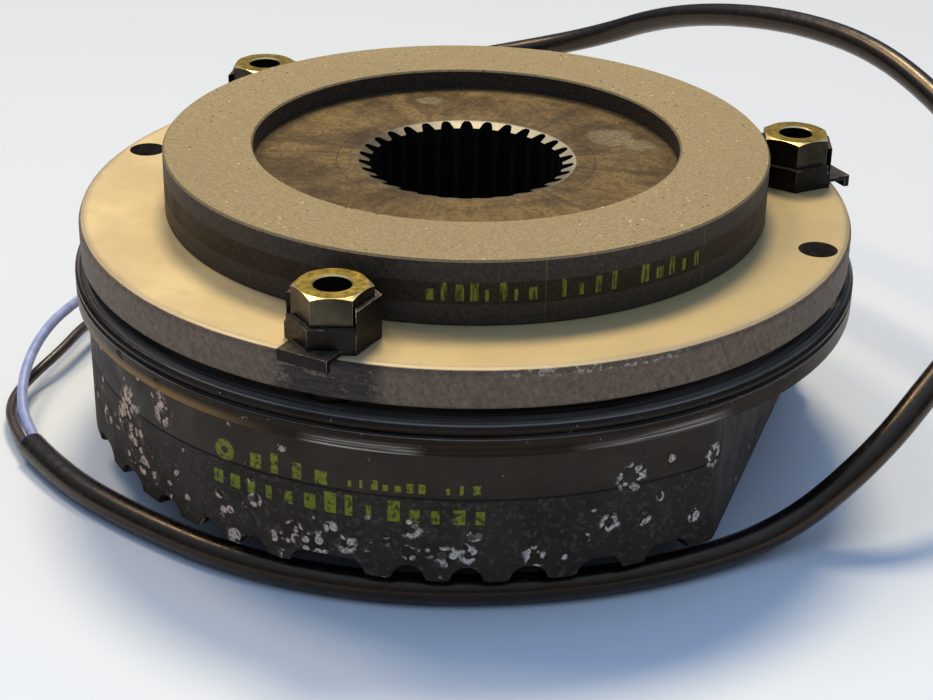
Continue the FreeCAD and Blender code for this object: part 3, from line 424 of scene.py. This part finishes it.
def housing_steel(look, band, streaks):
    """Dark turned steel, oily near the foot of the rim, with brushed streaks there lightened as a
    painted highlight on two arcs at the front, and painted highlights along the top edge and at the
    groove.
    """
    steel = look.mix(look.span(streaks, 0.35, 0.7), (0.009, 0.007, 0.005), (0.030, 0.023, 0.017))
    lower = look.span(look.z, BAND_FOOT + 0.0022, BAND_FOOT + 0.0008)
    foot = look.span(look.z, BAND_FOOT + 0.0022, BAND_FOOT + 0.0004)
    oily = look.times(look.towards(-150.0, 0.80, 0.97), look.times(foot, band))
    oil = look.mix(look.towards(-126.0, 0.80, 0.96), (0.12, 0.062, 0.024), (0.27, 0.150, 0.055))
    steel = look.mix(look.times(oily, look.span(streaks, 0.3, 0.55, 0.35, 1.0)), steel, oil)
    # brushed streaks on two front arcs near the rim's foot, lightened as a painted highlight
    brushed_and_glint = look.most(look.towards(-103.0, 0.988, 0.998), look.towards(-64.0, 0.975, 0.998))
    brushed_and_glint = look.times(look.times(brushed_and_glint, lower), band)
    brushed_glint = look.times(brushed_and_glint, look.span(streaks, 0.46, 0.58, 0.15, 1.0))
    steel = look.mix(brushed_glint, steel, (0.42, 0.37, 0.30))
    # painted highlights: thin bright lines along the top edge and at the groove
    rim_highlights = look.most(look.within(look.z, BAND_TOP - 0.00012, BAND_TOP + 0.0001, 0.00012),
                     look.within(look.z, BAND_TOP - 0.00245, BAND_TOP - 0.0023, 0.00008))
    steel = look.mix(look.times(rim_highlights, look.span(streaks, 0.4, 0.6, 0.2, 0.8)), steel, (0.26, 0.22, 0.18))
    specks = look.span(look.noise(0.0013, 3.0, 0.7), 0.66, 0.71)
    return look.mix(look.times(specks, 0.6), steel, (0.34, 0.30, 0.26))


def housing_look():
    """Black paint on cast iron, corroded in granular pale spots, with a turned and oiled band."""
    look = Look("housing_look", (0.03, 0.03, 0.03), 0.55, Specular_IOR_Level=0.28,
                Specular_Tint=(1.0, 0.72, 0.48))
    inside = look.span(look.radius, BODY_RADIUS - 0.0012, BODY_RADIUS - 0.0016)
    cast = look.most(look.span(look.z, TURNED_FOOT + 0.0004, TURNED_FOOT - 0.0004), inside)
    grain = look.noise(0.0011, 5.0, 0.65)
    paint = housing_print(look, housing_paint(look, cast, inside, grain))
    body, crust = housing_crust(look, paint)

    band = look.times(look.span(look.z, BAND_FOOT - 0.0003, BAND_FOOT),
                      look.span(look.radius, BAND_INNER, BAND_INNER + 0.0002))
    bore = look.span(look.radius, BORE_MOUTH + 0.0006, BORE_MOUTH + 0.0004)
    land = look.span(look.z, 0.0004, 0.0001)
    machined = look.most(look.most(band, bore), land)
    streaks = look.noise(1.0, 5.0, 0.6, look.ring_place(0.030, 0.0004))
    look.feed("Base Color", look.mix(machined, body, housing_steel(look, band, streaks)))
    look.feed("Metallic", look.times(machined, 0.12))
    look.feed("Specular IOR Level", look.span(machined, 0.0, 1.0, 0.28, 0.14))
    rough_paint = look.span(look.noise(0.006, 5.0), 0.3, 0.7, 0.44, 0.62)
    rough_paint = look.add(rough_paint, look.times(cast, 0.10))
    rough_steel = look.span(streaks, 0.3, 0.7, 0.26, 0.42)
    rough = look.add(look.but(rough_paint, machined), look.times(rough_steel, machined))
    look.feed("Roughness", look.most(rough, look.times(crust, 0.85)))
    rugged = look.but(look.span(cast, 0.0, 1.0, 0.18, 1.0), machined)
    look.bump(look.times(grain, rugged), 0.00045)
    look.bump(look.times(look.noise(0.0045, 4.0), rugged), 0.00045)
    look.bump(look.but(crust, machined), 0.00018)
    look.bump(look.times(streaks, machined), 0.00003)
    return look


def armature_face(look, clouds):
    """A satin ground face with painted shade that darkens it towards the right, with scuffs, specks,
    scratches and a worn edge.
    """
    face = look.mix(look.span(clouds, 0.35, 0.7), (0.71, 0.500, 0.230), (0.80, 0.580, 0.278))
    # painted shade: the face is mixed darker towards the right
    face = look.mix(look.times(look.towards(-15.0, -1.0, 0.8), 0.8), face, (0.50, 0.350, 0.150))
    scuffs = look.noise(0.007, 6.0, 0.7, None, 0.6)
    face = look.mix(look.span(scuffs, 0.52, 0.74, 0.0, 0.36), face, (0.46, 0.34, 0.18))
    specks = look.noise(0.0021, 3.0, 0.7)
    face = look.mix(look.span(specks, 0.68, 0.74, 0.0, 0.5), face, (0.28, 0.20, 0.12))
    scratch_place = look.joined(look.times(look.x, 60.0), look.times(look.y, 900.0), 0.0)
    scratch = look.noise(1.0, 2.0, 0.5, scratch_place)
    face = look.mix(look.span(scratch, 0.70, 0.74, 0.0, 0.35), face, (0.80, 0.68, 0.42))
    worn_rim = look.span(look.add(look.radius, look.times(scuffs, 0.0016)),
                         ARMATURE_RADIUS - 0.0012, ARMATURE_RADIUS - 0.0002, 0.0, 0.45)
    return look.mix(worn_rim, face, (0.36, 0.28, 0.18))


def armature_rim(look, grain, nicks, sawn):
    """A dull nicked rim, dark where a film peels off it and chipped along its upper edge."""
    shade = look.add(look.times(grain, 0.72), look.times(sawn, 0.28))
    side = look.mix(look.span(shade, 0.34, 0.66), (0.116, 0.080, 0.053), (0.222, 0.156, 0.104))
    side = look.mix(look.span(nicks, 0.60, 0.72, 0.0, 0.5), side, (0.085, 0.066, 0.052))
    side = look.mix(look.span(nicks, 0.36, 0.28, 0.0, 0.5), side, (0.33, 0.26, 0.20))
    layers = look.noise(1.0, 3.0, 0.6, look.ring_place(0.006, 0.0006))
    peeling = look.add(look.times(look.noise(0.0040, 6.0, 0.7), 0.7), look.times(layers, 0.3))
    peeled = look.times(look.towards(-107.5, 0.989, 0.9955), look.span(peeling, 0.42, 0.46))
    film = look.mix(look.span(layers, 0.40, 0.62), (0.008, 0.005, 0.005), (0.050, 0.034, 0.029))
    side = look.mix(look.times(peeled, 0.92), side, film)
    edge_height = ARMATURE_TOP.z - 0.0012
    chips = look.times(look.span(look.z, edge_height - 0.0005, edge_height),
                       look.span(look.noise(0.0013, 4.0, 0.7), 0.52, 0.58))
    chips = look.times(chips, look.towards(-72.0, 0.965, 0.995))
    return look.mix(look.times(chips, 0.7), side, (0.60, 0.50, 0.38))


def armature_look():
    """Yellow-passivated steel with a satin ground face and a dull, nicked rim."""
    look = Look("armature_look", (0.7, 0.55, 0.34), 0.4, Specular_IOR_Level=0.5)
    azimuth = look.azimuth()
    clouds = look.noise(0.024, 6.0, 0.6)
    grain = look.noise(0.0009, 6.0, 0.65)
    nick_place = look.joined(look.times(azimuth, 1.4), look.times(look.z, 160.0), 0.0)
    nicks = look.noise(1.0, 3.0, 0.6, nick_place, 0.5)
    slant = look.add(look.times(azimuth, 2.1), look.times(look.z, 900.0))
    sawn = look.noise(1.0, 2.0, 0.5, look.joined(slant, look.times(look.z, 160.0), 0.0))
    rim = look.span(look.facing_up, 0.93, 0.6)
    rim = look.most(rim, look.span(look.radius, ARMATURE_RADIUS - 0.0005, ARMATURE_RADIUS - 0.0003))
    face = armature_face(look, clouds)
    look.feed("Base Color", look.mix(rim, face, armature_rim(look, grain, nicks, sawn)))
    look.feed("Metallic", look.span(rim, 0.0, 1.0, 0.24, 0.30))
    look.feed("Roughness", look.most(look.times(rim, 0.60), look.span(clouds, 0.3, 0.7, 0.42, 0.52)))
    look.bump(look.times(grain, rim), 0.00014)
    look.bump(look.times(nicks, rim), 0.00022)
    look.bump(look.times(sawn, rim), 0.00006)
    look.bump(look.but(look.noise(0.0008, 3.0), rim), 0.000012)
    look.bump(look.but(look.noise(0.009, 3.0), rim), 0.00005)
    return look


FLOOR_LINES = [  # azimuth and half width, in degrees, of dark lines across the recess floor
    (174.5, 1.2), (115.5, 1.6), (57.5, 1.0), (-2.5, 1.4), (-41.5, 1.0),
]
WIPED_PLACES = [  # azimuth, radius and size of paler places on the recess floor
    (24.0, 0.0310, 0.0048), (14.0, 0.0350, 0.0030), (103.0, 0.0335, 0.0026),
]


def stained_floor(look):
    """Colour and roughness pattern of the dusty metal floor of the rotor's recess."""
    azimuth = look.azimuth()
    smears = look.noise(1.0, 6.0, 0.65, look.ring_place(0.0045, 0.022, 0.03), 0.4)
    blots = look.noise(0.013, 8.0, 0.75, None, 0.3)
    share = look.add(look.times(smears, 0.30), look.times(blots, 0.70))
    floor = look.mix(look.span(share, 0.38, 0.64), (0.064, 0.033, 0.010), (0.245, 0.148, 0.052))
    grit = look.noise(0.0008, 6.0, 0.8)
    floor = look.mix(look.span(grit, 0.49, 0.60, 0.0, 0.7), floor, (0.050, 0.028, 0.010))
    floor = look.mix(look.span(grit, 0.42, 0.34, 0.0, 0.4), floor, (0.36, 0.25, 0.11))
    wander = look.times(look.noise(0.006, 4.0), 14.0)
    for turn, half_width in FLOOR_LINES:
        line = look.within(look.add(azimuth, wander), turn - half_width, turn + half_width, 1.2)
        floor = look.mix(look.times(line, 0.55), floor, (0.050, 0.030, 0.014))
    wobble = look.noise(0.003, 6.0, 0.85)
    for turn, radius, size in WIPED_PLACES:
        wiped = look.near(turn, radius, CARRIER_FACE, size, wobble)
        wiped = look.times(wiped, look.span(grit, 0.7, 0.35, 0.1, 0.5))
        floor = look.mix(wiped, floor, (0.34, 0.265, 0.15))
    crumbs = look.span(look.noise(0.0009, 4.0, 0.7), 0.68, 0.73)
    return look.mix(look.times(crumbs, 0.6), floor, (0.55, 0.46, 0.32)), share


def rotor_print(look, side):
    """A worn row of printed blocks round the front of the rotor, over a side colour."""
    azimuth = look.azimuth()
    low, high = LINING_FACE - 0.0073, LINING_FACE - 0.0041
    ink = look.printed(azimuth, -96.5, -76.8, low, high, 8)
    ink = look.most(ink, look.printed(azimuth, -73.6, -61.4, low, high, 4))
    ink = look.most(ink, look.printed(azimuth, -58.6, -43.2, low, high, 5))
    wear_place = look.joined(look.times(azimuth, 2.2), look.times(look.z, 260.0), 0.0)
    worn = look.span(look.noise(1.0, 4.0, 0.7, wear_place), 0.58, 0.44, 0.05, 0.9)
    side = look.mix(look.times(ink, worn), side, (0.27, 0.290, 0.030))
    for turn in (-76.2, -43.6):
        scratch = look.times(look.within(azimuth, turn - 0.04, turn + 0.04, 0.06), worn)
        side = look.mix(look.times(scratch, 0.5), side, (0.30, 0.33, 0.05))
    return side


def lining_look():
    """Moulded friction material: khaki and finely speckled where it is ground, dark on its sides."""
    look = Look("lining_look", (0.4, 0.3, 0.16), 0.8, Specular_IOR_Level=0.3)
    fine = look.noise(0.00055, 5.0, 0.7)
    clouds = look.noise(0.030, 4.0, 0.6)
    face = look.mix(look.span(fine, 0.3, 0.7), (0.27, 0.185, 0.083), (0.44, 0.310, 0.146))
    face = look.mix(look.span(clouds, 0.35, 0.75, 0.0, 0.35), face, (0.31, 0.215, 0.100))
    far, chance = look.cells(0.0011)
    flecks = look.times(look.span(far, 0.24, 0.10), look.span(chance, 0.91, 0.95))
    pits = look.times(look.span(far, 0.28, 0.14), look.span(chance, 0.07, 0.04))
    face = look.mix(flecks, face, (0.78, 0.66, 0.42))
    face = look.mix(pits, face, (0.10, 0.065, 0.035))
    side = look.mix(look.span(fine, 0.35, 0.75), (0.034, 0.024, 0.016), (0.085, 0.062, 0.042))
    side = look.mix(look.times(flecks, 0.35), side, (0.30, 0.25, 0.18))
    side = rotor_print(look, side)
    up = look.span(look.facing_up, 0.5, 0.9)
    look.feed("Base Color", look.mix(up, side, face))
    look.feed("Roughness", look.span(up, 0.0, 1.0, 0.55, 0.78))
    look.bump(fine, 0.00010)
    look.bump(look.noise(0.0016, 4.0), 0.00006)
    look.bump(pits, -0.00012)
    return look


def carrier_look():
    """The carrier's floor, stained brown by lining dust, with paler wiped places."""
    look = Look("carrier_look", (0.2, 0.13, 0.07), 0.6, Specular_IOR_Level=0.22,
                Specular_Tint=(1.0, 0.84, 0.60))
    floor, share = stained_floor(look)
    # painted shade: the floor darkens towards the foot of the lining's inner wall
    painted_wall_shade = look.span(look.radius, LINING_BORE - 0.004, LINING_BORE, 0.0, 0.5)
    floor = look.mix(painted_wall_shade, floor, (0.045, 0.028, 0.014))
    fine = look.noise(0.0006, 4.0, 0.7)
    side = look.mix(look.span(fine, 0.35, 0.7), (0.022, 0.015, 0.009), (0.050, 0.034, 0.022))
    side = rotor_print(look, side)
    up = look.span(look.facing_up, 0.5, 0.9)
    look.feed("Base Color", look.mix(up, side, floor))
    look.feed("Metallic", look.times(up, 0.10))
    look.feed("Roughness", look.span(share, 0.4, 0.7, 0.50, 0.72))
    look.bump(fine, 0.00012)
    look.bump(share, 0.00015)
    return look


def bush_look():
    """The splined bush: stained flange, bright worn tooth ends and a near-black bore, whose dark is
    painted shade inside the hole.
    """
    look = Look("bush_look", (0.2, 0.13, 0.07), 0.5, Specular_IOR_Level=0.22,
                Specular_Tint=(1.0, 0.84, 0.60))
    flange, share = stained_floor(look)
    seam = look.span(look.radius, BUSH_EDGE - 0.0002, BUSH_EDGE - 0.00005)
    flange = look.mix(seam, flange, (0.022, 0.014, 0.008))
    ends = look.span(look.radius, SPLINE_ROOT + 0.0007, SPLINE_ROOT + 0.0002)
    bright = look.times(look.towards(48.0, -0.2, 0.7), look.span(share, 0.3, 0.6, 0.5, 1.0))
    flange = look.mix(look.times(ends, 0.6), flange, (0.10, 0.085, 0.062))
    flange = look.mix(look.times(ends, bright), flange, (0.42, 0.36, 0.25))
    # painted shade: the bore and tooth flanks are coloured near black
    bore = look.mix(look.noise(0.003, 4.0), (0.006, 0.006, 0.006), (0.022, 0.019, 0.016))
    up = look.span(look.facing_up, 0.3, 0.7)
    look.feed("Base Color", look.mix(up, bore, flange))
    look.feed("Metallic", look.span(ends, 0.0, 1.0, 0.10, 0.30))
    look.feed("Roughness", look.span(share, 0.4, 0.7, 0.42, 0.64))
    look.bump(look.noise(0.0007, 4.0), 0.00004)
    return look


def sleeve_look():
    """Yellow-passivated steel: gold ends, flanks darkened to olive as painted shade, and chamfers and
    edges lightened as a painted highlight.
    """
    look = Look("sleeve_look", (0.5, 0.36, 0.12), 0.3, 0.9)
    clouds = look.noise(0.007, 2.0, 0.5)
    top = look.mix(look.span(clouds, 0.3, 0.7), (0.40, 0.250, 0.026), (0.54, 0.355, 0.045))
    # painted shade: the side faces get a much darker copy of the gold
    shaded_flank = look.mix(look.span(clouds, 0.3, 0.7), (0.032, 0.027, 0.017), (0.090, 0.074, 0.046))
    up = look.span(look.facing_up, 0.75, 0.95)
    # painted highlight: sloped chamfer faces and sharp edges are coloured bright
    chamfer_highlight = look.within(look.facing_up, 0.2, 0.88, 0.08)
    colour = look.mix(up, shaded_flank, top)
    colour = look.mix(look.most(chamfer_highlight, look.times(look.worn_edges(0.0002), 0.7)),
                      colour, (0.80, 0.58, 0.24))
    look.feed("Base Color", colour)
    look.feed("Roughness", look.span(look.noise(0.0012, 4.0), 0.3, 0.7, 0.24, 0.38))
    look.bump(look.noise(0.0005, 3.0), 0.00001)
    mark_place = look.joined(look.times(look.x, 400.0), look.times(look.y, 400.0),
                             look.times(look.z, 2600.0))
    look.bump(look.noise(1.0, 3.0, 0.6, mark_place), 0.00002)
    return look


def clip_look():
    """Blackened spring steel, rubbed to bare metal along its edges, with dust and painted light on its
    upper faces.
    """
    look = Look("clip_look", (0.012, 0.012, 0.013), 0.4, 0.3, Specular_IOR_Level=0.3,
                Specular_Tint=(1.0, 0.82, 0.70))
    worn = look.times(look.worn_edges(0.00025), look.span(look.noise(0.0025, 4.0), 0.40, 0.60))
    rubbed = look.span(look.noise(0.004, 5.0, 0.7), 0.62, 0.72, 0.0, 0.35)
    colour = look.mix(rubbed, (0.008, 0.007, 0.006), (0.045, 0.036, 0.028))
    dust = look.span(look.noise(0.0018, 5.0, 0.7), 0.3, 0.6, 0.3, 1.0)
    # dust on the up-facing faces, lightened also as painted light on the tops
    dust_and_lit_top = look.times(look.span(look.facing_up, 0.7, 0.95), dust)
    colour = look.mix(dust_and_lit_top, colour, (0.085, 0.062, 0.040))
    look.feed("Base Color", look.mix(worn, colour, (0.62, 0.52, 0.40)))
    look.feed("Metallic", look.span(worn, 0.0, 1.0, 0.3, 0.95))
    look.feed("Roughness", look.span(look.noise(0.0015, 4.0), 0.3, 0.7, 0.30, 0.50))
    look.bump(look.noise(0.0007, 4.0), 0.00003)
    return look


def turned_metal_look(name, pale, dark, metallic=0.9):
    """Plain turned metal with marks that run round its axis."""
    look = Look(name, pale, 0.4, metallic)
    marks = look.noise(1.0, 5.0, 0.6, look.ring_place(0.025, 0.0004))
    stains = look.noise(0.008, 5.0, 0.65)
    share = look.add(look.times(marks, 0.5), look.times(stains, 0.5))
    look.feed("Base Color", look.mix(look.span(share, 0.38, 0.62), dark, pale))
    look.feed("Roughness", look.span(marks, 0.3, 0.7, 0.28, 0.48))
    look.bump(marks, 0.00002)
    return look


def matt_look(name, pale, dark, roughness, size, depth, metallic=0.0):
    """A dull moulded or drawn finish with a fine grain."""
    look = Look(name, pale, roughness, metallic)
    grain = look.noise(size, 5.0, 0.65)
    look.feed("Base Color", look.mix(look.span(look.noise(size * 6.0, 4.0), 0.35, 0.7), dark, pale))
    look.feed("Roughness", look.span(grain, 0.3, 0.7, roughness - 0.08, roughness + 0.08))
    look.bump(grain, depth)
    return look


def winding_look():
    """Enamelled copper wire wound side by side, with painted shade in the grooves between the turns."""
    look = Look("winding_look", (0.45, 0.14, 0.05), 0.3, 0.8)
    wire = 0.0006
    turns = look.maths("SINE", look.times(look.add(look.z, look.radius), 2.0 * math.pi / wire))
    # painted shade: the colour darkens in the grooves between turns
    colour = look.mix(look.span(turns, -0.8, 0.6), (0.12, 0.03, 0.012), (0.50, 0.17, 0.06))
    look.feed("Base Color", colour)
    look.feed("Roughness", look.span(look.noise(0.002), 0.3, 0.7, 0.25, 0.4))
    look.bump(look.span(turns, -1.0, 1.0), 0.00015)
    return look


def dress_frame():
    """Gives every solid that stays in the picture its look."""
    dress(housing_look(), "stator_housing")
    dress(armature_look(), "armature_plate")
    dress(lining_look(), "outer_friction_lining", "inner_friction_lining")
    dress(carrier_look(), "rotor_carrier")
    dress(bush_look(), "spline_bush")
    dress(sleeve_look(), "sleeve_bolt_1", "sleeve_bolt_2", "sleeve_bolt_3")
    dress(clip_look(), "locking_clip_1", "locking_clip_2", "locking_clip_3")
    dress(turned_metal_look("adjuster_look", (0.50, 0.46, 0.38), (0.22, 0.19, 0.15)), "adjuster_ring")
    dress(matt_look("bobbin_look", (0.60, 0.56, 0.48), (0.48, 0.44, 0.36), 0.5, 0.0008, 0.00002),
          "coil_bobbin")
    dress(winding_look(), "coil_winding")
    dress(matt_look("potting_look", (0.050, 0.038, 0.028), (0.022, 0.018, 0.015), 0.35, 0.0012, 0.00004),
          "coil_potting_ring")
    dress(matt_look("grommet_look", (0.030, 0.029, 0.028), (0.016, 0.016, 0.016), 0.6, 0.0007, 0.00003),
          "cable_grommet")
    dress(matt_look("lead_look", (0.65, 0.60, 0.50), (0.45, 0.40, 0.32), 0.5, 0.0005, 0.00002),
          "coil_lead_1", "coil_lead_2")
    dress(matt_look("ferrule_look", (0.75, 0.74, 0.70), (0.50, 0.49, 0.47), 0.3, 0.0006, 0.00001, 0.95),
          "ferrule_blue", "ferrule_brown")


def make_springs():
    """Six coil springs, copied from the solids with their own look, each down to its pocket's floor."""
    look = matt_look("spring_look", (0.30, 0.29, 0.28), (0.12, 0.11, 0.10), 0.34, 0.0006, 0.00001, 0.9)
    for i in range(1, 7):
        node = NODES[f"pressure_spring_{i}"]
        coils = node.data.copy()
        coils.materials.clear()
        coils.materials.append(look.material)
        spring = bpy.data.objects.new(f"spring_coils_{i}", coils)
        bpy.context.scene.collection.objects.link(spring)
        spring.matrix_world = node.matrix_world
        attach(spring, "stator")
        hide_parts(node.name)
        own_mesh(spring)


# ---- Floor and light ----

def make_floor():
    """A wide pale floor, paler towards the camera and darker further back as painted light, just below
    the plane that the unit stands on.
    """
    rings = (0.4, 1.2, 4.0, 12.0)
    sides = 64
    points = [(0.0, 0.0, 0.0)]
    faces = []
    for ring, radius in enumerate(rings):
        for side in range(sides):
            turn = 2.0 * math.pi * side / sides
            points.append((radius * math.cos(turn), radius * math.sin(turn), 0.0))
            here, there = 1 + ring * sides + side, 1 + ring * sides + (side + 1) % sides
            faces.append((0, here, there) if ring == 0 else (here - sides, here, there, there - sides))
    mesh = bpy.data.meshes.new("floor")
    mesh.from_pydata(points, [], faces)
    look = Look("floor_look", (0.72, 0.74, 0.77), 0.55)
    # painted light: the floor is paler near the camera and darker further back
    near = look.mix(look.noise(0.08, 3.0), (0.815, 0.817, 0.825), (0.840, 0.842, 0.850))
    look.feed("Base Color", look.mix(look.span(look.y, -0.25, 0.50), near, (0.595, 0.585, 0.583)))
    look.bump(look.noise(0.0015, 3.0), 0.00002)
    mesh.materials.append(look.material)
    floor = bpy.data.objects.new("floor", mesh)
    bpy.context.scene.collection.objects.link(floor)
    floor.location.z = -0.0001


def make_light(name, place, size, power, colour):
    """A round lamp that is aimed at the origin."""
    data = bpy.data.lights.new(name, "AREA")
    data.shape = "DISK"
    data.size = size
    data.energy = power
    data.color = colour
    light = bpy.data.objects.new(name, data)
    bpy.context.scene.collection.objects.link(light)
    light.location = place
    light.rotation_mode = "QUATERNION"
    light.rotation_quaternion = (-Vector(place)).to_track_quat("-Z", "Y")


def make_world():
    """Blue light from above that dims towards the horizon, with almost none from below."""
    world = bpy.data.worlds.new("studio")
    world.use_nodes = True
    bpy.context.scene.world = world
    tree = world.node_tree
    shade = tree.nodes["Background"]
    where = tree.nodes.new("ShaderNodeTexCoord")
    parts = tree.nodes.new("ShaderNodeSeparateXYZ")
    tree.links.new(where.outputs["Generated"], parts.inputs[0])
    ramp = tree.nodes.new("ShaderNodeValToRGB")
    tree.links.new(parts.outputs[2], ramp.inputs[0])
    ramp.color_ramp.elements.new(0.3)
    below, horizon, zenith = ramp.color_ramp.elements
    below.color = (0.05, 0.05, 0.052, 1.0)
    horizon.color = (0.12, 0.13, 0.15, 1.0)
    zenith.color = (0.50, 0.75, 1.22, 1.0)
    tree.links.new(ramp.outputs[0], shade.inputs[0])
    shade.inputs[1].default_value = 1.0


make_camera()
make_cords()
dress_frame()
make_springs()
make_floor()
make_world()
make_light("key", (0.0, 0.87, 1.58), 0.5, 20.3, (1.0, 0.89, 0.61))
make_light("side", (-0.70, 0.585, 1.55), 0.5, 9.1, (1.0, 0.83, 0.52))
bpy.context.scene.view_settings.view_transform = "Standard"
